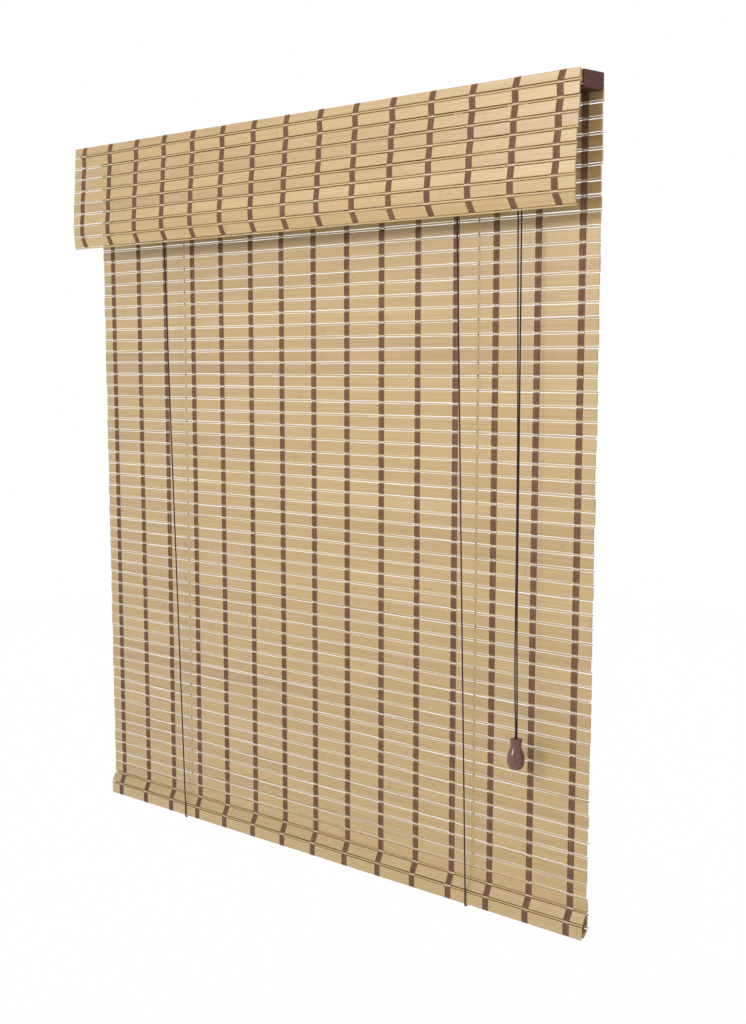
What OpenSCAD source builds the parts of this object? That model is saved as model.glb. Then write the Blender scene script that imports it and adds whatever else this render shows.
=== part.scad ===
// Roll-up blind woven from bamboo slats and round reeds, hung from a wooden headrail.
// Millimetres. X runs along the rail, +Y is the back (the window side), +Z is up.
// The origin is the centre of the headrail's top face.

/* [Headrail] */
// Length of the wooden headrail
rail_l = 916; // [904:1:916]
// Depth of the headrail, front to back
rail_d = 36; // [36:1:40]
// Height of the headrail
rail_h = 18.5; // [17:0.5:22]
// Radius of the two mounting screw holes
mount_hole_r = 2.25; // [1.5:0.25:3]
// Distance between the two mounting screw holes
mount_spacing = 800; // [700:10:820]

/* [Woven panel] */
// Length of the slats, which is the width of the blind
blind_w = 916; // [912:1:930]
// Distance from one reed to the next in the lower part
row_pitch = 16.9; // [16.6:0.1:17]
// How much closer the rows are woven in the upper part
upper_tighter = 0.3; // [0:0.1:0.4]
// First row of the tighter upper part
upper_from = 37; // [30:1:45]
// Thickness of a slat
slat_t = 2; // [1.5:0.1:2.2]
// Diameter of a reed
reed_d = 2; // [1.5:0.1:2.2]
// Clear gap between a slat's edge and the reed beside it
weave_gap = 0.8; // [0.6:0.05:1.1]
// Distance between the woven thread columns
column_pitch = 62; // [58:1:64]
// Width of a thread column
column_w = 9.6; // [6:0.2:12]
// Thickness of the thread layer on each face
thread_t = 0.25; // [0.2:0.05:0.3]

/* [Cords] */
// Diameter of the lift cords
cord_d = 1.8; // [1.4:0.1:2]
// Diameter of the wooden tassel at its widest
tassel_d = 21; // [18:0.5:24]
// Height of the wooden tassel
tassel_h = 37; // [34:1:42]

/* [Pulleys and cord lock] */
// Radius of a cord's centre line round a pulley or the lock roller
pitch_r = 6; // [6:0.1:6.2]
// Radius of the pulley and roller pins
pin_r = 1.5; // [1:0.1:1.8]
// Radial clearance of a wheel on its pin
pin_clear = 0.06; // [0.03:0.01:0.1]

/* [Hidden] */
$fn = 48;

// Woven panel: row 0 is the lowest reed on the front of the hem, row 57 is behind the rail.
row0_z = -970.3;
first_panel_row = 2;
last_row = 57;
columns = 15;
reed_r = reed_d / 2;
slat_inset = reed_r + weave_gap;
panel_y = rail_d / 2 + thread_t + slat_t / 2;
top_slat_end = -0.5;
function row_z(r) = row0_z + row_pitch * r - upper_tighter * max(r - upper_from, 0);
function column_x(i) = (i - (columns - 1) / 2) * column_pitch;

// Hem: [y, z] of each reed from the panel's lowest row, round the dowel and up behind.
hem_rows = [[panel_y, row_z(2)], [panel_y, row_z(1)], [12.1, -968.8], [12.1, -986],
    [22.9, -973], [22.7, -956.1], [22, -939.2]];
fold_row = 3;
fold_front = 0.3;
fold_back = 3.6;
fold_reed = [14.4, -979.6];
hem_dowel_r = 4;
hem_dowel_at = [17.45, -971.2];

// Valance: [y, z] of each row from the fold over the rail down to its lower edge.
valance_rows = [[-22.1, 1.5], [-22.5, -10.8], [-23.3, -27.5], [-24.4, -44.2], [-25.8, -60.8],
    [-27.1, -77.2], [-28.1, -93.6], [-28.8, -110.3], [-28.6, -127], [-26.2, -143.2]];
valance_w = blind_w + 8;
valance_at = -4;
valance_pitch = 62.4;
valance_threads_at = -6.5;
fixing_slat_y = -panel_y;
fixing_reed_z = -15.3;

// Cords: where each one turns at its pulley, and where it loops under the hem.
cord_r = cord_d / 2;
left_turn = [-282, -8];
right_turn = [274, -14.4];
left_loop_x = -274;
right_loop_x = 278;
pull_x = 367.5;
wheel_z = -rail_h - 9;
run_z = wheel_z + pitch_r;
join_gap = 0.08;
exit_z = -42;
groove_play = 0.15;
cord_off = 2;
front_end = [hem_rows[2][0] - cord_off, hem_rows[2][1]];
rear_y = hem_rows[fold_row + 1][0] + cord_off;
rear_join_z = -950;

// Pulleys
wheel_r = 7;
wheel_w = 4;
groove_w = 2.4;
cheek_t = 1;
plate_t = 1.2;
cheek_in = 2.6;
bracket_l = 26;
cheek_l = 12;
screw_r = 1.3;
screw_head_r = 2.2;
screw_head_t = 0.8;
screw_len = 11;

// Cord lock
lock_x = pull_x - pitch_r;
lock_y = [-18, -4.4];
lock_plate_x = [349, 388];
lock_cheek_x = [354, 383];
lock_h = 22;
roller_r = pitch_r - cord_r - groove_play;
roller_play = 0.3;
nose_r = 3;
hub_r = 3.2;
web_h = 4.4;
web_inset = 0.8;
cam_nose = [pull_x + cord_r + nose_r + 0.05, wheel_z];
cam_pivot = [cam_nose[0] + 4.4, wheel_z - 3];
lock_mid_y = (lock_y[0] + lock_y[1]) / 2;
lock_screw_inset = 2.6;
lock_screw_x = [lock_plate_x[0] + lock_screw_inset, lock_plate_x[1] - lock_screw_inset];

// Staples, midway between thread columns
staple_w = 10;
staple_wire = [1, 0.45];
staple_leg = 8;
staple_z = -6;
staple_xs = [for (gap = [0.5, 2.5, 3.5, 5.5, 6.5]) for (side = [-1, 1]) side * gap * column_pitch];

// Rear cord eyes
eye_z = -7;
eye_ring_r = 3.2;
eye_wire_r = 0.9;
eye_screw_r = 1.1;
eye_depth = 14;
loop_r = 1.95;
knot_r = 2.3;
knot_z = eye_z - eye_ring_r - loop_r - 2;

// Tassel
tassel_x = 373;
tassel_y = -11.2;
tassel_top = -752;
pocket_r = 4.5;
pocket_h = 19;
neck_hole_r = 2.4;
tassel_knot_r = 3.4;

// Free ends of the two cords, from the lock to the tassel
left_pull_route = [[367.5, -8, -42], [367.5, -8, -56], [367.6, -8.1, -90], [368, -8.4, -150],
    [368.6, -8.7, -220], [369.4, -9.3, -300], [370, -9.8, -380], [370.4, -10, -460],
    [370.6, -10.1, -540], [371, -10, -610], [371.8, -9.7, -670], [372.6, -9.6, -715],
    [373, -9.9, -740], [373, -10.1, -752], [373, -10.1, -770.5]];
right_pull_route = [[367.5, -14.4, -42], [367.5, -14.4, -56], [367.4, -14.3, -90],
    [367.6, -14, -150], [368.2, -13.6, -220], [369.1, -13, -300], [369.8, -12.4, -380],
    [370.2, -12.2, -460], [370.4, -12.2, -540], [370.6, -12.5, -610], [371.2, -12.9, -670],
    [372.3, -12.8, -715], [373, -12.4, -740], [373, -12.2, -752], [373, -12.2, -770.5]];
cord_sides = 8;

wood_dark = [0.33, 0.2, 0.17];
bamboo = [0.82, 0.7, 0.48];
reed_tone = [0.88, 0.78, 0.58];
thread_tone = [0.4, 0.27, 0.22];
cord_tone = [0.28, 0.2, 0.22];
steel = [0.72, 0.72, 0.72];
brass = [0.75, 0.62, 0.35];

function unit(v) = v / norm(v);
function left_of(v) = [-v[1], v[0]];
// Points beside a path at distance d, mitred at its bends
function beside(p, d) = [for (i = [0 : len(p) - 1])
    let (before = unit(i == 0 ? p[1] - p[0] : p[i] - p[i - 1]),
         after = unit(i == len(p) - 1 ? p[i] - p[i - 1] : p[i + 1] - p[i]),
         n = unit(left_of(before) + left_of(after)))
    p[i] + n * d / (n * left_of(after))];
function reversed(p) = [for (i = [len(p) - 1 : -1 : 0]) p[i]];

// A slat between two [y, z] rows, lying in the plane through both, short of each by its inset
module slat(a, b, w = blind_w, inset_a = slat_inset, inset_b = slat_inset) {
    along = b - a;
    translate([-w / 2, a[0], a[1]])
        rotate([atan2(along[1], along[0]), 0, 0])
            translate([0, inset_a, -slat_t / 2])
                cube([w, norm(along) - inset_a - inset_b, slat_t]);
}

// A reed along the blind at a [y, z] row
module reed(p, w = blind_w) {
    translate([-w / 2, p[0], p[1]])
        rotate([0, 90, 0])
            cylinder(r = reed_r, h = w);
}

// A thread column's layer along one side of a [y, z] path
module thread_layer(x, path, side) {
    inner = beside(path, side * slat_t / 2);
    outer = beside(path, side * (slat_t / 2 + thread_t));
    translate([x - column_w / 2, 0, 0])
        rotate([90, 0, 90])
            linear_extrude(column_w)
                polygon(concat(inner, reversed(outer)));
}

// One ring of a swept cord's skin, square to the route at point i
function ring(p, i, flat_axis) =
    let (t = unit(p[min(i + 1, len(p) - 1)] - p[max(i - 1, 0)]),
         u = unit(cross(t, flat_axis)),
         v = cross(t, u))
    [for (k = [0 : cord_sides - 1])
        p[i] + cord_r * (cos(360 * k / cord_sides) * u + sin(360 * k / cord_sides) * v)];

// Round cord along a route, which never runs along flat_axis
module swept_cord(p, flat_axis = [0, 1, 0]) {
    last = (len(p) - 1) * cord_sides;
    skin = [for (i = [0 : len(p) - 2]) for (k = [0 : cord_sides - 1])
        let (a = i * cord_sides + k, b = i * cord_sides + (k + 1) % cord_sides)
        [a, b, b + cord_sides, a + cord_sides]];
    ends = [[for (k = [cord_sides - 1 : -1 : 0]) k], [for (k = [0 : cord_sides - 1]) last + k]];
    polyhedron([for (i = [0 : len(p) - 1]) each ring(p, i, flat_axis)], concat(skin, ends));
}

// Points of an arc about [a, b] from one angle to another
function arc(centre, r, from, to, steps) =
    [for (i = [0 : steps]) let (t = from + (to - from) * i / steps)
        centre + r * [cos(t), sin(t)]];

module headrail() {
    color(wood_dark)
        difference() {
            translate([-rail_l / 2, -rail_d / 2, -rail_h])
                cube([rail_l, rail_d, rail_h]);
            for (side = [-1, 1])
                translate([side * mount_spacing / 2, 0, -rail_h - 1])
                    cylinder(r = mount_hole_r, h = rail_h + 2);
        }
}

// One staple with its crown on the outside of a slat at y, driven towards -side
module staple(x, y, side) {
    translate([x - staple_w / 2, side > 0 ? y : y - staple_wire[1], staple_z])
        cube([staple_w, staple_wire[1], staple_wire[0]]);
    for (end = [0, staple_w - staple_wire[0]])
        translate([x - staple_w / 2 + end, side > 0 ? y - staple_leg : y, staple_z])
            cube([staple_wire[0], staple_leg, staple_wire[0]]);
}

module rail_staples() {
    color(steel) {
        for (x = staple_xs)
            staple(x, panel_y + slat_t / 2, 1);
        for (x = staple_xs)
            staple(x, fixing_slat_y - slat_t / 2, -1);
    }
}

module valance_fixing_slat() {
    color(bamboo)
        slat([fixing_slat_y, top_slat_end + slat_inset], [fixing_slat_y, fixing_reed_z]);
}

module valance_fixing_reed() {
    color(reed_tone)
        reed([fixing_slat_y, fixing_reed_z]);
}

// Steel bracket whose two cheeks carry a pulley; turn is the cord's [x, y] at the wheel
module pulley_bracket(turn) {
    color(steel)
        translate([turn[0] + pitch_r, turn[1], 0])
            difference() {
                union() {
                    translate([-bracket_l / 2, -cheek_in - cheek_t, -rail_h - plate_t])
                        cube([bracket_l, 2 * (cheek_in + cheek_t), plate_t]);
                    for (side = [-1, 1])
                        translate([-cheek_l / 2, side * (cheek_in + cheek_t / 2) - cheek_t / 2,
                                wheel_z - 4])
                            cube([cheek_l, cheek_t, -rail_h - plate_t - wheel_z + 4]);
                }
                translate([0, -10, wheel_z])
                    rotate([-90, 0, 0])
                        cylinder(r = pin_r, h = 20);
                for (side = [-1, 1])
                    translate([side * (bracket_l / 2 - 3), 0, -rail_h - 5])
                        cylinder(r = screw_r, h = 10);
            }
}

module left_pulley_bracket() {
    pulley_bracket(left_turn);
}

module right_pulley_bracket() {
    pulley_bracket(right_turn);
}

// Grooved wheel turning on its pin
module pulley(turn) {
    groove_r = pitch_r - cord_r - groove_play;
    color("gainsboro")
        translate([turn[0] + pitch_r, turn[1] + wheel_w / 2, wheel_z])
            rotate([90, 0, 0])
                rotate_extrude()
                    polygon([[pin_r + pin_clear, 0], [wheel_r, 0], [wheel_r, 0.6],
                        [groove_r, (wheel_w - groove_w) / 2 + 0.1],
                        [groove_r, (wheel_w + groove_w) / 2 - 0.1],
                        [wheel_r, wheel_w - 0.6], [wheel_r, wheel_w],
                        [pin_r + pin_clear, wheel_w]]);
}

module left_pulley() {
    pulley(left_turn);
}

module right_pulley() {
    pulley(right_turn);
}

// Pin along Y between two faces, riveted over outside both
module rivet_pin(x, z, y_low, y_high, head_t = 0.8) {
    translate([x, y_low, z])
        rotate([-90, 0, 0])
            cylinder(r = pin_r, h = y_high - y_low);
    for (y = [y_low - head_t, y_high])
        translate([x, y, z])
            rotate([-90, 0, 0])
                cylinder(r = pin_r + 0.9, h = head_t);
}

module pulley_pin(turn) {
    color(steel)
        rivet_pin(turn[0] + pitch_r, wheel_z,
            turn[1] - cheek_in - cheek_t, turn[1] + cheek_in + cheek_t);
}

module left_pulley_pin() {
    pulley_pin(left_turn);
}

module right_pulley_pin() {
    pulley_pin(right_turn);
}

// Pan-head wood screw driven up through a plate into the rail
module wood_screw(x, y) {
    translate([x, y, -rail_h - plate_t - screw_head_t])
        cylinder(r = screw_head_r, h = screw_head_t);
    translate([x, y, -rail_h - plate_t])
        cylinder(r = screw_r, h = screw_len);
}

module bracket_screws() {
    color(steel)
        for (turn = [left_turn, right_turn])
            for (side = [-1, 1])
                wood_screw(turn[0] + pitch_r + side * (bracket_l / 2 - 3), turn[1]);
}

module cord_lock_frame() {
    color(steel)
        difference() {
            union() {
                translate([lock_plate_x[0], lock_y[0], -rail_h - plate_t])
                    cube([lock_plate_x[1] - lock_plate_x[0], lock_y[1] - lock_y[0], plate_t]);
                for (y = [lock_y[0], lock_y[1] - cheek_t])
                    translate([lock_cheek_x[0], y, -rail_h - lock_h])
                        cube([lock_cheek_x[1] - lock_cheek_x[0], cheek_t, lock_h - plate_t]);
            }
            for (p = [[lock_x, wheel_z], cam_pivot])
                translate([p[0], -30, p[1]])
                    rotate([-90, 0, 0])
                        cylinder(r = pin_r, h = 40);
            for (x = lock_screw_x)
                translate([x, lock_mid_y, -rail_h - 5])
                    cylinder(r = screw_r, h = 10);
        }
}

// Solid along Y that fits between the cheeks of the cord lock
module between_cheeks(r) {
    rotate([-90, 0, 0])
        cylinder(r = r, h = lock_y[1] - lock_y[0] - 2 * (cheek_t + roller_play));
}

module cord_lock_roller() {
    color("gainsboro")
        translate([lock_x, lock_y[0] + cheek_t + roller_play, wheel_z])
            difference() {
                between_cheeks(roller_r);
                translate([0, -1, 0])
                    rotate([-90, 0, 0])
                        cylinder(r = pin_r + pin_clear, h = 30);
            }
}

module cord_lock_cam() {
    nose = [cam_nose[0] - cam_pivot[0], cam_pivot[1] - cam_nose[1]];
    color(brass)
        translate([cam_pivot[0], lock_y[0] + cheek_t + roller_play, cam_pivot[1]])
            rotate([-90, 0, 0])
                linear_extrude(height = lock_y[1] - lock_y[0] - 2 * (cheek_t + roller_play))
                    difference() {
                        union() {
                            circle(r = hub_r);
                            translate(nose)
                                circle(r = nose_r);
                            rotate(atan2(nose[1], nose[0]))
                                translate([web_inset, -web_h / 2])
                                    square([norm(nose) - 2 * web_inset, web_h]);
                        }
                        circle(r = pin_r + pin_clear);
                    }
}

module cord_lock_roller_pin() {
    color(steel)
        rivet_pin(lock_x, wheel_z, lock_y[0], lock_y[1]);
}

module cord_lock_cam_pin() {
    color(steel)
        rivet_pin(cam_pivot[0], cam_pivot[1], lock_y[0], lock_y[1]);
}

module cord_lock_screws() {
    color(steel)
        for (x = lock_screw_x)
            wood_screw(x, lock_mid_y);
}

// Screw eye in the back of the rail that holds a rear cord's knot
module cord_eye(x) {
    color(steel)
        translate([x, rear_y, eye_z]) {
            rotate([0, 90, 0])
                rotate_extrude()
                    translate([eye_ring_r, 0])
                        circle(r = eye_wire_r);
            translate([0, -eye_ring_r, 0])
                rotate([90, 0, 0])
                    cylinder(r = eye_screw_r, h = rear_y - eye_ring_r - rail_d / 2 + eye_depth);
        }
}

module left_cord_eye() {
    cord_eye(left_loop_x);
}

module right_cord_eye() {
    cord_eye(right_loop_x);
}

// Cord under the rail: round the pulley, along to the lock, over its roller and down
module rail_cord(turn) {
    over_pulley = arc([turn[0] + pitch_r, wheel_z], pitch_r, 180, 90, 6);
    over_roller = arc([lock_x, wheel_z], pitch_r, 90, 0, 6);
    path = concat(over_pulley, over_roller, [[pull_x, exit_z + join_gap]]);
    color(cord_tone)
        swept_cord([for (q = path) [q[0], turn[1], q[1]]]);
}

module left_rail_cord() {
    rail_cord(left_turn);
}

module right_rail_cord() {
    rail_cord(right_turn);
}

// Cord in front of the panel, from the pulley down to the hem
module front_cord(turn, loop_x) {
    top = [turn[0], turn[1], wheel_z - join_gap];
    drop = [loop_x, front_end[0], front_end[1] + join_gap] - top;
    color(cord_tone)
        translate(top)
            rotate([0, acos(drop[2] / norm(drop)), atan2(drop[1], drop[0])])
                cylinder(r = cord_r, h = norm(drop));
}

module left_front_cord() {
    front_cord(left_turn, left_loop_x);
}

module right_front_cord() {
    front_cord(right_turn, right_loop_x);
}

// Cord behind the panel, tied to its eye with a loop and a knot
module rear_cord(x) {
    color(cord_tone) {
        translate([x, rear_y, eye_z - eye_ring_r])
            rotate([90, 0, 0])
                rotate_extrude()
                    translate([loop_r, 0])
                        circle(r = cord_r);
        translate([x, rear_y, knot_z])
            sphere(r = knot_r);
        translate([x, rear_y, rear_join_z + join_gap])
            cylinder(r = cord_r, h = knot_z - rear_join_z - join_gap);
    }
}

module left_rear_cord() {
    rear_cord(left_loop_x);
}

module right_rear_cord() {
    rear_cord(right_loop_x);
}

// Cord passing under the hem, from the front to behind
module hem_cord(x) {
    low = hem_rows[fold_row];
    back = hem_rows[fold_row + 1];
    lift = atan2(back[1] - low[1], back[0] - low[0]);
    path = concat([front_end], arc(low, cord_off, 180, 270 + lift, 8),
        arc(back, cord_off, lift - 90, 0, 3), [[rear_y, rear_join_z]]);
    color(cord_tone)
        swept_cord([for (q = path) [x, q[0], q[1]]], [1, 0, 0]);
}

module left_hem_cord() {
    hem_cord(left_loop_x);
}

module right_hem_cord() {
    hem_cord(right_loop_x);
}

module panel_slats() {
    color(bamboo) {
        for (r = [first_panel_row : last_row - 1])
            slat([panel_y, row_z(r)], [panel_y, row_z(r + 1)]);
        slat([panel_y, row_z(last_row)], [panel_y, top_slat_end + slat_inset]);
    }
}

module panel_reeds() {
    color(reed_tone)
        for (r = [first_panel_row + 1 : last_row])
            reed([panel_y, row_z(r)]);
}

module panel_threads() {
    path = [[panel_y, top_slat_end], [panel_y, row_z(first_panel_row) + join_gap]];
    color(thread_tone)
        for (i = [0 : columns - 1])
            for (side = [-1, 1])
                thread_layer(column_x(i), path, side);
}

module hem_slats() {
    color(bamboo)
        for (i = [0 : len(hem_rows) - 2])
            slat(hem_rows[i], hem_rows[i + 1],
                inset_a = i == fold_row ? fold_back : slat_inset,
                inset_b = i == fold_row - 1 ? fold_front : slat_inset);
}

module hem_reeds() {
    color(reed_tone)
        for (i = [0 : len(hem_rows) - 1])
            reed(i == fold_row ? fold_reed : hem_rows[i]);
}

module hem_threads() {
    corner = hem_rows[fold_row];
    front = [for (i = [0 : fold_row]) hem_rows[i]];
    back = [corner + fold_back * unit(hem_rows[fold_row + 1] - corner),
        each [for (i = [fold_row + 1 : len(hem_rows) - 1]) hem_rows[i]]];
    color(thread_tone)
        for (i = [0 : columns - 1])
            for (side = [-1, 1])
                for (path = [front, back])
                    thread_layer(column_x(i), path, side);
}

module hem_dowel() {
    color(wood_dark)
        translate([-blind_w / 2 + 4, hem_dowel_at[0], hem_dowel_at[1]])
            rotate([0, 90, 0])
                cylinder(r = hem_dowel_r, h = blind_w - 8);
}

module valance_slats() {
    color(bamboo)
        translate([valance_at, 0, 0])
            for (i = [0 : len(valance_rows) - 2])
                slat(valance_rows[i], valance_rows[i + 1], valance_w,
                    inset_a = i == 0 ? 0 : slat_inset);
}

module valance_reeds() {
    color(reed_tone)
        translate([valance_at, 0, 0])
            for (i = [1 : len(valance_rows) - 1])
                reed(valance_rows[i], valance_w);
}

module valance_threads() {
    color(thread_tone)
        for (i = [0 : columns - 1])
            for (side = [-1, 1])
                thread_layer(valance_threads_at + (i - (columns - 1) / 2) * valance_pitch,
                    valance_rows, side);
}

module left_pull_cord() {
    color(cord_tone)
        swept_cord(left_pull_route);
}

module right_pull_cord() {
    color(cord_tone)
        swept_cord(right_pull_route);
}

// Turned wooden tassel: flared rim, waist and round body, hollow from below for the knot
module tassel() {
    wide = tassel_d / 2;
    belly = 0.6 * tassel_h;
    color([0.4, 0.27, 0.25])
        translate([tassel_x, tassel_y, tassel_top - tassel_h])
            rotate_extrude()
                polygon([[pocket_r, 0], [wide - 4.6, 0], [wide - 2.4, 2], [wide - 1, 4.6],
                    [wide - 0.2, 8], [wide, tassel_h - belly], [wide - 0.4, tassel_h - belly + 4],
                    [wide - 1.6, tassel_h - belly + 7.6], [wide - 3.2, tassel_h - 10],
                    [wide - 4, tassel_h - 7], [wide - 3.9, tassel_h - 4.6],
                    [wide - 3.2, tassel_h - 2.2], [wide - 2.8, tassel_h - 0.8],
                    [wide - 3.6, tassel_h], [neck_hole_r, tassel_h],
                    [neck_hole_r, pocket_h], [pocket_r, pocket_h]]);
}

module tassel_knot() {
    color(cord_tone)
        translate([tassel_x, tassel_y, left_pull_route[14][2] - tassel_knot_r + 0.4])
            difference() {
                sphere(r = tassel_knot_r);
                translate([-5, -5, tassel_knot_r - 0.4])
                    cube(10);
            }
}

headrail();
rail_staples();
valance_fixing_slat();
valance_fixing_reed();
left_pulley_bracket();
right_pulley_bracket();
left_pulley();
right_pulley();
left_pulley_pin();
right_pulley_pin();
bracket_screws();
cord_lock_frame();
cord_lock_roller();
cord_lock_cam();
cord_lock_roller_pin();
cord_lock_cam_pin();
cord_lock_screws();
left_cord_eye();
right_cord_eye();
left_rail_cord();
right_rail_cord();
left_front_cord();
right_front_cord();
left_rear_cord();
right_rear_cord();
panel_slats();
panel_reeds();
panel_threads();
hem_slats();
hem_reeds();
hem_threads();
hem_dowel();
left_hem_cord();
right_hem_cord();
valance_slats();
valance_reeds();
valance_threads();
left_pull_cord();
right_pull_cord();
tassel();
tassel_knot();
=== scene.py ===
import math

import bpy
import numpy as np
from mathutils import Matrix, Vector


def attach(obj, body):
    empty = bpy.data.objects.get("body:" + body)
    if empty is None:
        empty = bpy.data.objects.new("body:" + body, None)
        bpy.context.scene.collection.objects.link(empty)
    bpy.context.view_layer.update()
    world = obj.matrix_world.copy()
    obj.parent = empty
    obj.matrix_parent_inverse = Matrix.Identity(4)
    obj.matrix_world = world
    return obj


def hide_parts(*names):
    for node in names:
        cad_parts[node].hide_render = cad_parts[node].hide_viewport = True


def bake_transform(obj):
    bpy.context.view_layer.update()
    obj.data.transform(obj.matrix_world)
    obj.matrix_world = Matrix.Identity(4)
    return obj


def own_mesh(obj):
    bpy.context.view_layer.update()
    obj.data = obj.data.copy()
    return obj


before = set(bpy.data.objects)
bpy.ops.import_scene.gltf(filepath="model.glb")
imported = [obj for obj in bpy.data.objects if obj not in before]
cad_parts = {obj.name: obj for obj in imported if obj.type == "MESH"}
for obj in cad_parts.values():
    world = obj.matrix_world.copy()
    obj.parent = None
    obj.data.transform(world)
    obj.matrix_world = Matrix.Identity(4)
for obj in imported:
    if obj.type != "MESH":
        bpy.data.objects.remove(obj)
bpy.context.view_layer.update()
rng = np.random.default_rng(7)

MM = 0.001

# ---------------------------------------------------------------- camera
camera_at = Vector((1.518, -1.442, -0.306))
looks_at = Vector((0.016, 0.018, -0.618))
camera_roll = math.radians(-0.24)

camera_data = bpy.data.cameras.new("camera")
camera_data.lens = 55.4
camera_data.sensor_width = 36
camera_data.shift_x = 0.049
camera_data.shift_y = 0.079
camera_data.clip_end = 60
camera = bpy.data.objects.new("camera", camera_data)
bpy.context.scene.collection.objects.link(camera)
look = (looks_at - camera_at).to_track_quat("-Z", "Y").to_matrix().to_4x4()
camera.matrix_world = Matrix.Translation(camera_at) @ look @ Matrix.Rotation(camera_roll, 4, "Z")
bpy.context.scene.camera = camera
bpy.context.scene.view_settings.view_transform = "Standard"

# ---------------------------------------------------------------- dimensions
# All but rear_top_z and valance_lean are the CAD's, in metres. The weave is rows of reeds,
# numbered upwards, with a slat between each two, and columns of thread.
blind_w = 0.916
row0_z = -0.9703
row_pitch = 0.0169
upper_tighter = 0.0003
upper_from = 37
first_panel_row = 2
last_row = 57
columns = 15
column_pitch = 0.062
slat_t = 0.002
reed_r = 0.001
weave_gap = 0.0008
slat_inset = reed_r + weave_gap
panel_y = 0.01925
top_slat_end = -0.0005

# (y, z) of each reed of the hem, down its front, round the fold and up its back
hem_rows = [(panel_y, row0_z + 2 * row_pitch), (panel_y, row0_z + row_pitch), (0.0121, -0.9688),
            (0.0121, -0.986), (0.0229, -0.973), (0.0227, -0.9561), (0.022, -0.9392)]
fold_row = 3
fold_front = 0.0003
fold_back = 0.0036
fold_reed = (0.0144, -0.9796)

# the lift cords: turns are (x, y) of each front leg's top, loop_xs where each passes the hem
cord_r = 0.0009
cord_off = 0.002
pitch_r = 0.006
wheel_z = -0.0275
lock_x = 0.3615
pull_x = 0.3675
exit_z = -0.042
turns = {"left": (-0.282, -0.008), "right": (0.274, -0.0144)}
loop_xs = {"left": -0.274, "right": 0.278}
front_end = (hem_rows[2][0] - cord_off, hem_rows[2][1])
rear_y = hem_rows[fold_row + 1][0] + cord_off
rear_join_z = -0.95
rear_top_z = -0.03
loop_z = -0.0102
loop_r = 0.00195
knot_z = -0.01415
knot_r = 0.0023

# (y, z) of the valance's top edge and of each of its reeds, and the threads' stray in x there
valance_rows = [(-0.0221, 0.0015), (-0.0225, -0.0108), (-0.0233, -0.0275), (-0.0244, -0.0442),
                (-0.0258, -0.0608), (-0.0271, -0.0772), (-0.0281, -0.0936), (-0.0288, -0.1103),
                (-0.0286, -0.127), (-0.0262, -0.1432)]
valance_lean = (0.004, 0, 0.0018, 0, 0.0014, 0, 0.001, -0.0008, -0.0002, 0.006)
valance_w = 0.924
valance_at = -0.004
valance_pitch = 0.0624
valance_threads_at = -0.0065
fixing_reed_z = -0.0153


def row_z(r):
    return row0_z + row_pitch * r - upper_tighter * max(r - upper_from, 0)


def column_x(i):
    return (i - (columns - 1) / 2) * column_pitch


panel_rows = [(panel_y, row_z(r)) for r in range(first_panel_row, last_row + 1)]


# ---------------------------------------------------------------- materials
class Nodes:
    """A node tree to which nodes are added by type, with their inputs given by name."""

    def __init__(self, name):
        self.material = bpy.data.materials.new(name)
        self.material.use_nodes = True
        self.tree = self.material.node_tree
        self.shader = self.tree.nodes["Principled BSDF"]

    def add(self, kind, settings=None, **inputs):
        node = self.tree.nodes.new(kind)
        for key, value in (settings or {}).items():
            setattr(node, key, value)
        for key, value in inputs.items():
            self.plug(node, key, value)
        return node

    def plug(self, node, key, value):
        by_number = key[0] == "i" and key[1:].isdigit()
        socket = node.inputs[int(key[1:]) if by_number else key]
        if isinstance(value, bpy.types.NodeSocket):
            self.tree.links.new(value, socket)
        else:
            socket.default_value = value

    def attribute(self, name):
        return self.add("ShaderNodeAttribute", {"attribute_name": name})

    def ramp(self, factor, stops):
        node = self.add("ShaderNodeValToRGB", Fac=factor)
        elements = node.color_ramp.elements
        while len(elements) < len(stops):
            elements.new(0.5)
        for element, (place, colour) in zip(elements, stops):
            element.position = place
            element.color = (*colour, 1)
        return node.outputs["Color"]

    def mix(self, factor, a, b, blend="MIX"):
        node = self.add("ShaderNodeMix", {"data_type": "RGBA", "blend_type": blend})
        for key, value in ((0, factor), (6, a), (7, b)):
            self.plug(node, f"i{key}", value if not isinstance(value, tuple) else (*value, 1))
        return node.outputs[2]

    def noise(self, vector, scale, detail=3.0, roughness=0.55):
        node = self.add("ShaderNodeTexNoise", Vector=vector, Scale=scale, Detail=detail,
                        Roughness=roughness)
        return node.outputs["Fac"]

    def stretched(self, vector, factors):
        node = self.add("ShaderNodeMapping", Vector=vector, Scale=factors)
        return node.outputs["Vector"]

    def bump(self, height, distance, strength=1.0):
        node = self.add("ShaderNodeBump", Height=height, Distance=distance, Strength=strength)
        self.plug(self.shader, "Normal", node.outputs["Normal"])

    def finish(self, colour, roughness, coat=0, coat_roughness=0.3, specular=0.5):
        self.plug(self.shader, "Base Color", colour)
        self.plug(self.shader, "Roughness", roughness)
        self.plug(self.shader, "Specular IOR Level", specular)
        self.plug(self.shader, "Coat Weight", coat)
        self.plug(self.shader, "Coat Roughness", coat_roughness)
        return self.material


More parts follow.
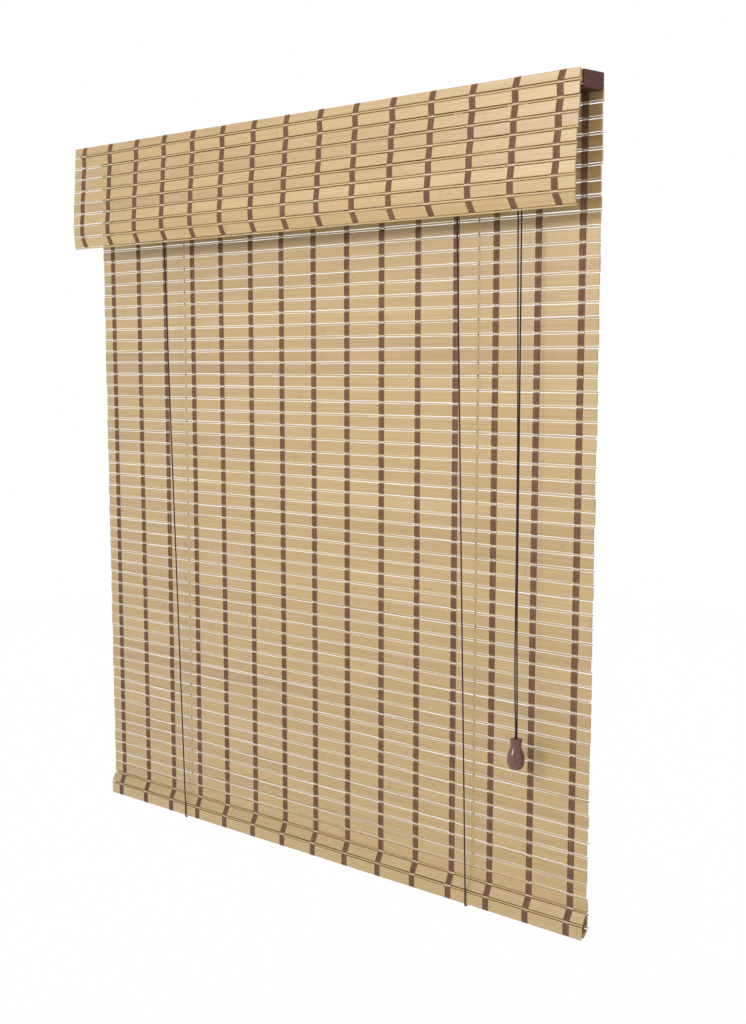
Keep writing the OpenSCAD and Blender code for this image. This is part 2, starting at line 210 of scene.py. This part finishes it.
def slat_material():
    n = Nodes("bamboo_slat")
    grain = n.attribute("grain").outputs["Vector"]
    seed = n.add("ShaderNodeSeparateXYZ", Vector=grain).outputs["Z"]
    tone = n.noise(n.stretched(grain, (0.6, 0, 9.7)), 1.0, 2.0)
    colour = n.ramp(tone, [(0.3, (0.37, 0.235, 0.086)), (0.45, (0.41, 0.272, 0.1)),
                           (0.58, (0.44, 0.297, 0.114)), (0.72, (0.48, 0.34, 0.15))])
    blush = n.noise(n.stretched(grain, (7, 60, 23.3)), 1.0, 2.0)
    colour = n.mix(n.ramp(blush, [(0.52, (0, 0, 0)), (0.78, (0.4, 0.4, 0.4))]), colour,
                   (0.52, 0.33, 0.19))
    streak = n.noise(n.stretched(grain, (4, 620, 41.0)), 1.0, 4.0, 0.7)
    colour = n.mix(0.6, colour, n.ramp(streak, [(0.32, (0.7, 0.69, 0.66)), (0.52, (1, 1, 1)),
                                                (0.72, (1.14, 1.14, 1.18))]), "MULTIPLY")
    shift = n.add("ShaderNodeMath", {"operation": "MULTIPLY"}, i0=seed, i1=5.31).outputs[0]
    along = n.add("ShaderNodeSeparateXYZ", Vector=grain).outputs["X"]
    place = n.add("ShaderNodeMath", {"operation": "MULTIPLY_ADD"},
                  i0=along, i1=1.3, i2=shift).outputs[0]
    knuckle = n.add("ShaderNodeTexVoronoi", {"voronoi_dimensions": "1D"}, W=place, Scale=1.0)
    knuckle = knuckle.outputs["Distance"]
    ring = n.ramp(knuckle, [(0.0, (0.45, 0.45, 0.45)), (0.0016, (0.3, 0.3, 0.3)),
                            (0.004, (0, 0, 0))])
    colour = n.mix(ring, colour, (0.3, 0.19, 0.09))
    n.bump(n.mix(ring, streak, (0.2, 0.2, 0.2)), 0.00008, 0.8)
    return n.finish(colour, 0.45, 1, 0.38)


def reed_material():
    n = Nodes("bamboo_reed")
    grain = n.attribute("grain").outputs["Vector"]
    tone = n.noise(n.stretched(grain, (1.1, 0, 13.7)), 1.0, 2.0)
    colour = n.ramp(tone, [(0.3, (0.43, 0.3, 0.125)), (0.55, (0.54, 0.39, 0.19)),
                           (0.75, (0.62, 0.48, 0.26))])
    streak = n.noise(n.stretched(grain, (14, 2500, 31.0)), 1.0, 3.0)
    colour = n.mix(0.4, colour, n.ramp(streak, [(0.3, (0.6, 0.57, 0.5)), (0.7, (1, 1, 1))]),
                   "MULTIPLY")
    n.bump(streak, 0.00006, 0.7)
    return n.finish(colour, 0.45)


def yarn_material(name, dark, light):
    """Spun yarn: twisted fibres along each strand."""
    n = Nodes(name)
    grain = n.attribute("grain").outputs["Vector"]
    twist = n.add("ShaderNodeTexWave", {"bands_direction": "DIAGONAL"},
                  Vector=n.stretched(grain, (1400, 900, 0)), Scale=1.0, Distortion=1.2)
    fibre = n.noise(n.stretched(grain, (300, 4000, 7.0)), 1.0, 3.0)
    tone = n.noise(n.stretched(grain, (9, 0, 3.3)), 1.0, 2.0)
    height = n.mix(0.5, twist.outputs["Color"], fibre)
    colour = n.mix(height, dark, light)
    colour = n.mix(n.ramp(tone, [(0.35, (0, 0, 0)), (0.65, (0.8, 0.8, 0.8))]), colour, light)
    n.bump(height, 0.00012, 0.9)
    return n.finish(colour, 0.9)


def stained_wood(name, dark, light, roughness, axis_scale, coat=0, specular=0.5):
    """Open-grained wood under a dark stain, the grain running where axis_scale is small."""
    n = Nodes(name)
    place = n.add("ShaderNodeTexCoord").outputs["Object"]
    rings = n.noise(n.stretched(place, axis_scale), 1.0, 5.0, 0.65)
    pores = n.noise(n.stretched(place, tuple(5 * s for s in axis_scale)), 1.0, 2.0)
    colour = n.ramp(rings, [(0.32, dark), (0.68, light)])
    colour = n.mix(n.ramp(pores, [(0.35, (0.55, 0.55, 0.55)), (0.5, (0, 0, 0))]), colour,
                   tuple(0.4 * c for c in dark))
    n.bump(pores, 0.0001, 0.5)
    return n.finish(colour, roughness, coat, 0.12, specular)


def worn_metal(name, colour, roughness):
    n = Nodes(name)
    place = n.add("ShaderNodeTexCoord").outputs["Object"]
    brushed = n.noise(n.stretched(place, (400, 3000, 3000)), 1.0, 3.0)
    spots = n.noise(place, 260.0, 4.0)
    shade = n.mix(n.ramp(spots, [(0.4, (0, 0, 0)), (0.8, (0.6, 0.6, 0.6))]), colour,
                  tuple(0.55 * c for c in colour))
    n.plug(n.shader, "Metallic", 1.0)
    n.bump(brushed, 0.00003, 0.6)
    dullness = n.ramp(brushed, [(0.3, (roughness,) * 3), (0.7, (roughness + 0.18,) * 3)])
    return n.finish(shade, dullness)


materials = {
    "bamboo_slat": slat_material(),
    "bamboo_reed": reed_material(),
    "binding_thread": yarn_material("binding_thread", (0.065, 0.029, 0.016), (0.18, 0.088, 0.05)),
    "reed_thread": yarn_material("reed_thread", (0.62, 0.49, 0.38), (0.93, 0.82, 0.71)),
    "lift_cord": yarn_material("lift_cord", (0.008, 0.004, 0.008), (0.05, 0.022, 0.03)),
    "rail_wood": stained_wood("rail_wood", (0.04, 0.012, 0.009), (0.12, 0.036, 0.026), 0.5,
                              (9, 260, 260), specular=0.25),
    "tassel_wood": stained_wood("tassel_wood", (0.07, 0.022, 0.017), (0.17, 0.06, 0.045), 0.35,
                                (420, 420, 30), 0.5),
    "dowel_wood": stained_wood("dowel_wood", (0.09, 0.045, 0.025), (0.2, 0.11, 0.06), 0.6,
                               (9, 400, 400)),
    "steel_hardware": worn_metal("steel_hardware", (0.6, 0.6, 0.6), 0.32),
    "zinc_wheel": worn_metal("zinc_wheel", (0.66, 0.67, 0.68), 0.28),
    "brass_cam": worn_metal("brass_cam", (0.72, 0.5, 0.22), 0.28),
}


# ---------------------------------------------------------------- meshes
crisp_from = 50


class Lofts:
    """Collects lofted tubes and bars into one mesh, with a grain vector on each point."""

    def __init__(self):
        self.points = []
        self.grain = []
        self.faces = []
        self.slots = []
        self.count = 0

    def add(self, rings, grain, slot=0):
        stations, sides = rings.shape[:2]
        self.points.append(rings.reshape(-1, 3))
        self.grain.append(grain.reshape(-1, 3))
        i = np.arange(stations - 1)[:, None] * sides + self.count
        k = np.arange(sides)[None, :]
        after = (k + 1) % sides
        quads = np.stack([i + k, i + after, i + sides + after, i + sides + k], axis=-1)
        last = (stations - 1) * sides + self.count
        self.faces += quads.reshape(-1, 4).tolist()
        self.faces.append(list(range(self.count + sides - 1, self.count - 1, -1)))
        self.faces.append(list(range(last, last + sides)))
        self.slots += [slot] * ((stations - 1) * sides + 2)
        self.count += stations * sides

    def build(self, name, material, body, nodes=(), second=None, sharp=crisp_from):
        """Makes the piece. Its edges are shaded crisp where they turn by sharp degrees or more."""
        mesh = bpy.data.meshes.new(name)
        mesh.from_pydata(np.concatenate(self.points).tolist(), [], self.faces)
        attribute = mesh.attributes.new("grain", "FLOAT_VECTOR", "POINT")
        attribute.data.foreach_set("vector", np.concatenate(self.grain).astype(np.float32).ravel())
        mesh.materials.append(materials[material])
        if second:
            mesh.materials.append(materials[second])
            mesh.polygons.foreach_set("material_index", self.slots)
        mesh.shade_smooth()
        mesh.set_sharp_from_angle(angle=math.radians(sharp))
        piece = bpy.data.objects.new(name, mesh)
        bpy.context.scene.collection.objects.link(piece)
        if body is not None:
            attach(piece, body)
        if nodes:
            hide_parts(*nodes)
        return piece


def unit(v):
    return v / np.linalg.norm(v)


def wander(stations, size, step=7):
    """A smooth random offset along the blind, at most about size either way."""
    knots = rng.uniform(-size, size, step)
    place = np.linspace(0, step - 1, stations)
    low = np.clip(place.astype(int), 0, step - 2)
    share = place - low
    share = share * share * (3 - 2 * share)
    return knots[low] * (1 - share) + knots[low + 1] * share


# How uneven the slats and reeds are: at their ends, along their edges and in their line
slat_stations = 44
slat_chamfer = 0.0004
slat_crown_edge = 0.0006
slat_short = 0.0018
slat_edge_wave = 0.00022
slat_bow = 0.00006
reed_stations = 60
reed_sides = 10
reed_longer = 0.0004
reed_shorter = 0.0015
reed_sway_y = 0.0001
reed_sway_z = 0.00045
reed_uneven = 0.07
piece_seed = 0


def next_seed():
    global piece_seed
    piece_seed += 1
    return float(piece_seed)


def grain_along(length, around, seed):
    """The grain vector at each station: along the piece, around it, and the piece's own seed."""
    return np.stack([length, np.full_like(length, around), np.full_like(length, seed)], axis=1)


def lengths_along(route):
    """The distance from a route's start to each of its points."""
    steps = np.linalg.norm(np.diff(route, axis=0), axis=1)
    return np.concatenate([[0], np.cumsum(steps)])


def add_slat(lofts, a, b, width=blind_w, at=0.0, inset_a=slat_inset, inset_b=slat_inset):
    """A split bamboo slat with a slightly crowned face, soft edges and uneven width."""
    start = np.array(a)
    along = unit(np.array(b) - start)
    normal = np.array([along[1], -along[0]])
    length = np.linalg.norm(np.array(b) - start) - inset_a - inset_b
    middle = start + along * (inset_a + length / 2)
    half = length / 2
    thick = slat_t / 2
    outline = [(-half, -thick * 0.7), (-half + slat_chamfer, -thick),
               (half - slat_chamfer, -thick), (half, -thick * 0.7), (half, thick * 0.5),
               (half - slat_crown_edge, thick * 0.9), (half * 0.35, thick),
               (-half * 0.35, thick), (-half + slat_crown_edge, thick * 0.9),
               (-half, thick * 0.5)]
    seed = next_seed()
    left = at - width / 2 + rng.uniform(0, slat_short)
    right = at + width / 2 - rng.uniform(0, slat_short)
    xs = np.linspace(left, right, slat_stations)
    low_edge = wander(slat_stations, slat_edge_wave, 9)
    high_edge = wander(slat_stations, slat_edge_wave, 9)
    bow = wander(slat_stations, slat_bow, 5)
    rings = np.zeros((slat_stations, len(outline), 3))
    grain = np.zeros_like(rings)
    for k, (across, out) in enumerate(outline):
        edge = low_edge if across < 0 else high_edge
        u = across + edge * abs(across) / half
        v = out + bow
        rings[:, k, 0] = xs
        rings[:, k, 1] = middle[0] + along[0] * u + normal[0] * v
        rings[:, k, 2] = middle[1] + along[1] * u + normal[1] * v
        grain[:, k] = grain_along(xs, across + out, seed)
    # the outline runs clockwise about x, so it is turned round for the faces to point outwards
    lofts.add(rings[:, ::-1], grain[:, ::-1])


def add_reed(lofts, p, width=blind_w, at=0.0):
    """A thin round reed, a little uneven and never quite straight."""
    seed = next_seed()
    left = at - width / 2 - rng.uniform(-reed_shorter, reed_longer)
    right = at + width / 2 + rng.uniform(-reed_shorter, reed_longer)
    xs = np.linspace(left, right, reed_stations)
    y = p[0] + wander(reed_stations, reed_sway_y, 6)
    z = p[1] + wander(reed_stations, reed_sway_z, 9)
    radius = reed_r * (1.02 + wander(reed_stations, reed_uneven, 20))
    rings = np.zeros((reed_stations, reed_sides, 3))
    grain = np.zeros_like(rings)
    for k in range(reed_sides):
        turn = 2 * math.pi * k / reed_sides
        rings[:, k, 0] = xs
        rings[:, k, 1] = y + radius * math.cos(turn)
        rings[:, k, 2] = z + radius * math.sin(turn)
        grain[:, k] = grain_along(xs, turn * reed_r, seed)
    lofts.add(rings, grain)


# A yarn is widest over a slat's middle, and narrowest where it crosses a reed
yarn_pitch = 0.0024
yarn_wide = 0.00222
yarn_wrap_wide = 0.0018
yarn_front_narrow = 0.0006
yarn_back_narrow = 0.00145
yarn_t = 0.00045
yarn_sides = 6
yarn_grain_r = 0.0005
yarn_sway = 0.0001
yarn_edge = 0.0009
yarn_edge_share = 0.95
yarn_gap_out = 0.45
yarn_gap_share = 0.62
yarn_back_under = 0.0004


def yarn_route(rows, front, wrap_first, wrap_last):
    """(y, z) points, widths and rows of one yarn: over the slats on its own side, under the reeds.

    Where an end is wrapped, it has no reed, and the yarn goes round the slat's edge at that inset.
    """
    rows = [np.array(r) for r in rows]
    over = slat_t / 2 + yarn_t / 2
    side = 1 if front else -1
    under = reed_r + (yarn_t / 2 if front else yarn_back_under)
    narrow = yarn_front_narrow if front else yarn_back_narrow
    spans = [(unit(b - a), np.linalg.norm(b - a)) for a, b in zip(rows, rows[1:])]
    normals = [np.array([along[1], -along[0]]) for along, pitch in spans]
    points = []
    widths = []
    at_row = []
    for i, row in enumerate(rows):
        first, last = i == 0, i == len(rows) - 1
        if first and wrap_first is not None:
            points.append(row + spans[0][0] * (wrap_first - yarn_t / 2))
            widths.append(yarn_wrap_wide)
        elif last and wrap_last is not None:
            points.append(row - spans[-1][0] * (wrap_last - yarn_t / 2))
            widths.append(yarn_wrap_wide)
        else:
            before, after = normals[max(i - 1, 0)], normals[min(i, len(normals) - 1)]
            points.append(row - side * under * unit(before + after))
            widths.append(narrow)
        at_row.append(i)
        if last:
            break
        along, pitch = spans[i]
        near = wrap_first if first and wrap_first is not None else slat_inset
        far = wrap_last if i == len(rows) - 2 and wrap_last is not None else slat_inset
        stops = [(near + yarn_edge, 1, yarn_edge_share), (pitch / 2, 1, 1),
                 (pitch - far - yarn_edge, 1, yarn_edge_share)]
        if near == slat_inset:
            stops.insert(0, (near - weave_gap / 3, yarn_gap_out, yarn_gap_share))
        if far == slat_inset:
            stops.append((pitch - far + weave_gap / 3, yarn_gap_out, yarn_gap_share))
        for place, out, share in stops:
            points.append(row + along * place + side * out * over * normals[i])
            widths.append(share * yarn_wide)
            at_row.append(i + place / pitch)
    return np.array(points), np.array(widths), np.array(at_row)


def add_yarn(lofts, x, route, widths, slot):
    seed = next_seed()
    tangent = np.gradient(route, axis=0)
    tangent /= np.linalg.norm(tangent, axis=1)[:, None]
    normal = np.stack([tangent[:, 1], -tangent[:, 0]], axis=1)
    length = lengths_along(route)
    sway = rng.uniform(-yarn_sway, yarn_sway, len(route))
    rings = np.zeros((len(route), yarn_sides, 3))
    grain = np.zeros_like(rings)
    for k in range(yarn_sides):
        turn = 2 * math.pi * k / yarn_sides
        lift = yarn_t / 2 * math.sin(turn)
        rings[:, k, 0] = x + sway + widths / 2 * math.cos(turn)
        rings[:, k, 1] = route[:, 0] + normal[:, 0] * lift
        rings[:, k, 2] = route[:, 1] + normal[:, 1] * lift
        grain[:, k] = grain_along(length, turn * yarn_grain_r, seed)
    lofts.add(rings, grain, slot)


def add_thread_column(lofts, x, rows, wrap_first=None, wrap_last=None, lean=(0, 0)):
    """Four pairs of yarns: dark ones over the slats, and pale ones that bind the reeds.

    lean is how far the column strays sideways at each row.
    """
    for place in (-1.5, -0.5, 0.5, 1.5):
        for slot, front in enumerate((True, False)):
            route, widths, at_row = yarn_route(rows, front, wrap_first, wrap_last)
            stray = np.interp(at_row, range(len(lean)), lean)
            add_yarn(lofts, x + place * yarn_pitch + stray, route, widths, slot)


def smooth_route(points, step):
    """Points every step along a smooth curve through the given ones."""
    p = np.array(points, float)
    p = np.concatenate([[2 * p[0] - p[1]], p, [2 * p[-1] - p[-2]]])
    out = []
    for i in range(1, len(p) - 2):
        a, b, c, d = p[i - 1], p[i], p[i + 1], p[i + 2]
        count = max(1, round(np.linalg.norm(c - b) / step))
        for t in np.arange(count) / count:
            out.append(0.5 * (2 * b + (c - a) * t + (2 * a - 5 * b + 4 * c - d) * t ** 2
                              + (3 * b - a - 3 * c + d) * t ** 3))
    out.append(p[-2])
    return np.array(out)


cord_sides = 12
cord_lay = 0.0075
cord_core = 0.93
cord_swell = 0.13


def add_cord(lofts, route):
    """Three-strand laid cord along a route: its strands wind round each other."""
    tangent = np.gradient(route, axis=0)
    tangent /= np.linalg.norm(tangent, axis=1)[:, None]
    side = np.zeros_like(route)
    up = np.array([1.0, 0, 0]) if abs(tangent[0][0]) < 0.9 else np.array([0, 1.0, 0])
    for i, t in enumerate(tangent):
        up = unit(up - t * (up @ t))
        side[i] = up
    other = np.cross(tangent, side)
    length = lengths_along(route)
    seed = next_seed()
    rings = np.zeros((len(route), cord_sides, 3))
    grain = np.zeros_like(rings)
    for k in range(cord_sides):
        turn = 2 * math.pi * k / cord_sides
        strand = np.abs(np.cos(1.5 * (turn - 2 * math.pi * length / cord_lay)))
        radius = cord_r * (cord_core + cord_swell * strand)
        rings[:, k] = route + radius[:, None] * (math.cos(turn) * side + math.sin(turn) * other)
        grain[:, k] = grain_along(length, turn * cord_r, seed)
    lofts.add(rings, grain)


def arc(centre, radius, start, end, steps):
    """(a, b) points of an arc in a plane, angles in degrees."""
    angles = np.radians(np.linspace(start, end, steps + 1))
    return [(centre[0] + radius * math.cos(t), centre[1] + radius * math.sin(t)) for t in angles]


# ---------------------------------------------------------------- tassel
tassel_at = (0.373, -0.0112)
tassel_top = -0.752
tassel_h = 0.037
tassel_outside = [(0.0059, 0), (0.0079, 0.0016), (0.0096, 0.0046), (0.0104, 0.0085),
                  (0.0105, 0.0125), (0.0103, 0.016), (0.0094, 0.0195), (0.008, 0.0228),
                  (0.0069, 0.0258), (0.0066, 0.0285), (0.0067, 0.0315), (0.0073, 0.0345),
                  (0.0077, 0.0361), (0.0069, 0.037)]
tassel_inside = [(0.0024, 0.037), (0.0024, 0.019), (0.0045, 0.019), (0.0045, 0)]
tassel_step = 0.0007
tassel_sides = 72


def turned_tassel():
    """The tassel, turned on a lathe: a smooth outside, and a bore below its neck for the knot."""
    curve = smooth_route([(r, z, 0) for r, z in tassel_outside], tassel_step)
    profile = [tuple(p[:2]) for p in curve] + tassel_inside
    mesh = bpy.data.meshes.new("tassel_turned")
    points = []
    faces = []
    count = len(profile)
    for k in range(tassel_sides):
        turn = 2 * math.pi * k / tassel_sides
        points += [(tassel_at[0] + r * math.cos(turn), tassel_at[1] + r * math.sin(turn),
                    tassel_top - tassel_h + z) for r, z in profile]
        after = (k + 1) % tassel_sides
        for j in range(count):
            m = (j + 1) % count
            faces.append((k * count + j, after * count + j, after * count + m, k * count + m))
    mesh.from_pydata(points, [], faces)
    mesh.materials.append(materials["tassel_wood"])
    mesh.shade_smooth()
    mesh.set_sharp_from_angle(angle=math.radians(crisp_from))
    piece = bpy.data.objects.new("tassel_turned", mesh)
    bpy.context.scene.collection.objects.link(piece)
    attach(piece, "tassel")
    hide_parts("tassel")


turned_tassel()


# ---------------------------------------------------------------- cords
cord_step = 0.0011
hem_cord_step = 0.0008
loop_step = 0.0006


def front_cord_route(x, turn):
    return smooth_route([(*turn, wheel_z), (x, *front_end)], cord_step)


def rear_cord_route(x):
    """Straight up behind the panel, from the hem to just below the rail's eye."""
    return smooth_route([(x, rear_y, z) for z in (rear_join_z, -0.6, -0.3, rear_top_z)],
                        cord_step)


def eye_loop_route(x):
    """Once round the eye, then down to where the rear leg starts."""
    loop = [(x, rear_y + loop_r * math.sin(t), loop_z - loop_r * math.cos(t))
            for t in np.linspace(0, 2 * math.pi, 13)]
    tail = [(x, rear_y, loop_z - loop_r), (x, rear_y, rear_top_z)]
    return np.concatenate([smooth_route(loop, loop_step), smooth_route(tail, cord_step)])


def hem_cord_route(x):
    """Down the hem's front, under its fold and up its back."""
    low, back = hem_rows[fold_row], hem_rows[fold_row + 1]
    lift = math.degrees(math.atan2(back[1] - low[1], back[0] - low[0]))
    path = [front_end, *arc(low, cord_off, 180, 270 + lift, 8),
            *arc(back, cord_off, lift - 90, 0, 3), (rear_y, rear_join_z)]
    return smooth_route([(x, y, z) for y, z in path], hem_cord_step)


def rail_cord_route(turn):
    """Over the pulley, along under the rail, and over the lock's roller."""
    path = [*arc((turn[0] + pitch_r, wheel_z), pitch_r, 180, 90, 6),
            *arc((lock_x, wheel_z), pitch_r, 90, 0, 6), (pull_x, exit_z)]
    return smooth_route([(x, turn[1], z) for x, z in path], cord_step)


pull_routes_mm = {
    "left": [(367.5, -8, -42), (367.5, -8, -56), (367.6, -8.1, -90), (368, -8.4, -150),
             (368.6, -8.7, -220), (369.4, -9.3, -300), (370, -9.8, -380), (370.4, -10, -460),
             (370.6, -10.1, -540), (371, -10, -610), (371.8, -9.7, -670), (372.6, -9.6, -715),
             (373, -9.9, -740), (373, -10.1, -752), (373, -10.1, -770.5)],
    "right": [(367.5, -14.4, -42), (367.5, -14.4, -56), (367.4, -14.3, -90), (367.6, -14, -150),
              (368.2, -13.6, -220), (369.1, -13, -300), (369.8, -12.4, -380),
              (370.2, -12.2, -460), (370.4, -12.2, -540), (370.6, -12.5, -610),
              (371.2, -12.9, -670), (372.3, -12.8, -715), (373, -12.4, -740),
              (373, -12.2, -752), (373, -12.2, -770.5)],
}


def knot_route(centre, radius):
    """An overhand knot: a cord wound into a small trefoil, drawn tight."""
    winds = []
    for t in np.linspace(0, 2 * math.pi, 49):
        ring = radius * 0.5 + radius * 0.22 * math.cos(3 * t)
        winds.append((centre[0] + ring * math.cos(2 * t), centre[1] + ring * math.sin(2 * t),
                      centre[2] + radius * 0.5 * math.sin(3 * t)))
    return smooth_route(winds, loop_step)


def cord_piece(name, route, body, nodes=()):
    lofts = Lofts()
    add_cord(lofts, route)
    return lofts.build(name, "lift_cord", body, nodes)


for name, turn in turns.items():
    loop_x = loop_xs[name]
    route = smooth_route([[c * MM for c in p] for p in pull_routes_mm[name]], cord_step)
    cord = cord_piece(f"{name}_pull_cord_laid", route, None, (f"{name}_pull_cord",))
    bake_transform(cord)

    cord = cord_piece(f"{name}_front_cord_laid", front_cord_route(loop_x, turn),
                      "headrail_assembly", (f"{name}_front_cord",))
    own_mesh(cord)
    cord = cord_piece(f"{name}_rear_cord_laid", rear_cord_route(loop_x), "headrail_assembly",
                      (f"{name}_rear_cord",))
    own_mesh(cord)
    cord_piece(f"{name}_rear_cord_loop", eye_loop_route(loop_x), "headrail_assembly")
    knot = knot_route((loop_x, rear_y, knot_z), knot_r)
    cord_piece(f"{name}_rear_cord_knot", knot, "headrail_assembly")
    cord_piece(f"{name}_hem_cord_laid", hem_cord_route(loop_x), "hem", (f"{name}_hem_cord",))
    cord_piece(f"{name}_rail_cord_laid", rail_cord_route(turn), "headrail_assembly",
               (f"{name}_rail_cord",))


# ---------------------------------------------------------------- woven panel
def squash_panel(piece):
    """Gives the piece a mesh of its own."""
    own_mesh(piece)


def build_slats(lofts, name, body, nodes=()):
    return lofts.build(name, "bamboo_slat", body, nodes, sharp=25)


def build_threads(lofts, name, body, nodes=()):
    return lofts.build(name, "binding_thread", body, nodes, second="reed_thread")


top_row = (panel_y, top_slat_end)
lofts = Lofts()
for a, b in zip(panel_rows[:-2], panel_rows[1:-1]):
    add_slat(lofts, a, b)
squash_panel(build_slats(lofts, "panel_slats_split", "headrail_assembly", ("panel_slats",)))
lofts = Lofts()
add_slat(lofts, panel_rows[-2], panel_rows[-1])
add_slat(lofts, panel_rows[-1], top_row, inset_b=0)
build_slats(lofts, "panel_slats_on_rail", "headrail_assembly")
lofts = Lofts()
for p in panel_rows[1:-2]:
    add_reed(lofts, p)
squash_panel(lofts.build("panel_reeds_split", "bamboo_reed", "headrail_assembly",
                         ("panel_reeds",)))
lofts = Lofts()
for p in panel_rows[-2:]:
    add_reed(lofts, p)
lofts.build("panel_reeds_on_rail", "bamboo_reed", "headrail_assembly")
for i in range(columns):
    lofts = Lofts()
    add_thread_column(lofts, column_x(i), panel_rows[:-1][::-1])
    nodes = ("panel_threads",) if i == 0 else ()
    squash_panel(build_threads(lofts, f"panel_thread_column_{i + 1}", "headrail_assembly", nodes))
lofts = Lofts()
for i in range(columns):
    add_thread_column(lofts, column_x(i), [top_row, *panel_rows[-2:][::-1]], wrap_first=0)
build_threads(lofts, "panel_threads_on_rail", "headrail_assembly")

# ---------------------------------------------------------------- hem
lofts = Lofts()
for i, (a, b) in enumerate(zip(hem_rows, hem_rows[1:])):
    add_slat(lofts, a, b, inset_a=fold_back if i == fold_row else slat_inset,
             inset_b=fold_front if i == fold_row - 1 else slat_inset)
build_slats(lofts, "hem_slats_split", "hem", ("hem_slats",))
lofts = Lofts()
for i, p in enumerate(hem_rows):
    add_reed(lofts, fold_reed if i == fold_row else p)
lofts.build("hem_reeds_split", "bamboo_reed", "hem", ("hem_reeds",))
lofts = Lofts()
for i in range(columns):
    add_thread_column(lofts, column_x(i), hem_rows[:fold_row + 1], wrap_last=fold_front)
    add_thread_column(lofts, column_x(i), hem_rows[fold_row:], wrap_first=fold_back)
build_threads(lofts, "hem_threads_spun", "hem", ("hem_threads",))

# ---------------------------------------------------------------- valance
lofts = Lofts()
for i, (a, b) in enumerate(zip(valance_rows, valance_rows[1:])):
    add_slat(lofts, a, b, valance_w, valance_at, inset_a=0 if i == 0 else slat_inset)
build_slats(lofts, "valance_slats_split", "valance", ("valance_slats",))
lofts = Lofts()
for p in valance_rows[1:]:
    add_reed(lofts, p, valance_w, valance_at)
lofts.build("valance_reeds_split", "bamboo_reed", "valance", ("valance_reeds",))
lofts = Lofts()
for i in range(columns):
    x = valance_threads_at + (i - (columns - 1) / 2) * valance_pitch
    add_thread_column(lofts, x, valance_rows, wrap_first=0, lean=valance_lean)
build_threads(lofts, "valance_threads_spun", "valance", ("valance_threads",))

fixing_rows = [(-panel_y, top_slat_end), (-panel_y, fixing_reed_z)]
lofts = Lofts()
add_slat(lofts, *fixing_rows, inset_a=0)
build_slats(lofts, "valance_fixing_slat_split", "headrail_assembly", ("valance_fixing_slat",))
lofts = Lofts()
add_reed(lofts, fixing_rows[1])
lofts.build("valance_fixing_reed_split", "bamboo_reed", "headrail_assembly",
            ("valance_fixing_reed",))

# ---------------------------------------------------------------- CAD nodes that stay
kept = {
    "rail_wood": ["headrail"],
    "dowel_wood": ["hem_dowel"],
    "steel_hardware": ["rail_staples", "left_pulley_bracket", "right_pulley_bracket",
                       "left_pulley_pin", "right_pulley_pin", "bracket_screws", "cord_lock_frame",
                       "cord_lock_roller_pin", "cord_lock_cam_pin", "cord_lock_screws",
                       "left_cord_eye", "right_cord_eye"],
    "zinc_wheel": ["left_pulley", "right_pulley", "cord_lock_roller"],
    "brass_cam": ["cord_lock_cam"],
    "lift_cord": ["tassel_knot"],
}
for material, nodes in kept.items():
    for node in nodes:
        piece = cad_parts[node]
        piece.data.materials.clear()
        piece.data.materials.append(materials[material])


def ease_edges(node, width, segments=2):
    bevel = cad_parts[node].modifiers.new("eased edges", "BEVEL")
    bevel.width = width
    bevel.segments = segments
    bevel.limit_method = "ANGLE"
    bevel.angle_limit = math.radians(40)
    bevel.harden_normals = False


ease_edges("headrail", width=0.0006, segments=3)
for node in ("left_pulley_bracket", "right_pulley_bracket", "cord_lock_frame"):
    ease_edges(node, width=0.0002)
ease_edges("cord_lock_cam", width=0.0003)

# ---------------------------------------------------------------- floor and light
floor_z = -2.75
floor_half = 12
floor_mesh = bpy.data.meshes.new("floor")
floor_mesh.from_pydata([(x * floor_half, y * floor_half, floor_z)
                        for x, y in ((-1, -1), (1, -1), (1, 1), (-1, 1))], [], [(0, 1, 2, 3)])
floor = bpy.data.objects.new("floor", floor_mesh)
bpy.context.scene.collection.objects.link(floor)
floor_paint = bpy.data.materials.new("floor_paint")
floor_paint.use_nodes = True
floor_shader = floor_paint.node_tree.nodes["Principled BSDF"]
floor_shader.inputs["Base Color"].default_value = (1, 1, 1, 1)
floor_shader.inputs["Roughness"].default_value = 0.9
floor_mesh.materials.append(floor_paint)

world = bpy.data.worlds.new("studio")
bpy.context.scene.world = world
world.use_nodes = True
world.node_tree.nodes["Background"].inputs["Color"].default_value = (1, 1, 1, 1)
world.node_tree.nodes["Background"].inputs["Strength"].default_value = 1.0


def area_light(name, at, towards, size, power, colour, spread):
    data = bpy.data.lights.new(name, "AREA")
    data.shape = "SQUARE"
    data.size = size
    data.energy = power
    data.color = colour
    data.spread = math.radians(spread)
    light = bpy.data.objects.new(name, data)
    bpy.context.scene.collection.objects.link(light)
    aim = (Vector(towards) - Vector(at)).to_track_quat("-Z", "Y").to_matrix().to_4x4()
    light.matrix_world = Matrix.Translation(Vector(at)) @ aim


area_light("key", at=(-0.75, -3.0, 0.85), towards=(0.35, 0, 0.1), size=0.65, power=5.8,
           colour=(1, 0.99, 0.965), spread=56)
